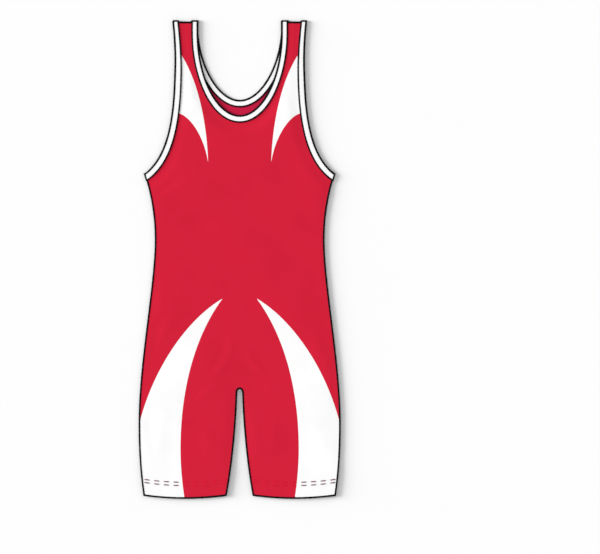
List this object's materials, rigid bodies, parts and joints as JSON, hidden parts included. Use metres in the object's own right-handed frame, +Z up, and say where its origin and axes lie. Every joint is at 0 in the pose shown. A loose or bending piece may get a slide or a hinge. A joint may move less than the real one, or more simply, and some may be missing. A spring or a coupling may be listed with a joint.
{
  "type": "wrestling singlet",
  "caption": "One-piece wrestling singlet with wide straps, bound neck and armholes, curved contrast inserts and short legs, laid out flat with its front up.",
  "frame": {"origin": "on the resting plane, in the middle of the garment's width and length", "axes": "+Y towards the shoulders, +X towards the wearer's left, +Z up out of the garment's front"},
  "size_m": [0.354, 0.842, 0.0049],
  "materials": {
    "red_knit": "smooth red nylon and elastane knit with a slight sheen",
    "white_knit": "smooth white nylon and elastane knit with a slight sheen"
  },
  "bodies": {
    "root": {"front_body": "red_knit", "back_body": "red_knit", "chest_insert_left": "white_knit", "chest_insert_right": "white_knit", "thigh_insert_left": "white_knit", "thigh_insert_right": "white_knit", "neck_binding": "white_knit", "armhole_binding_left": "white_knit", "armhole_binding_right": "white_knit"}
  },
  "joints": []
}
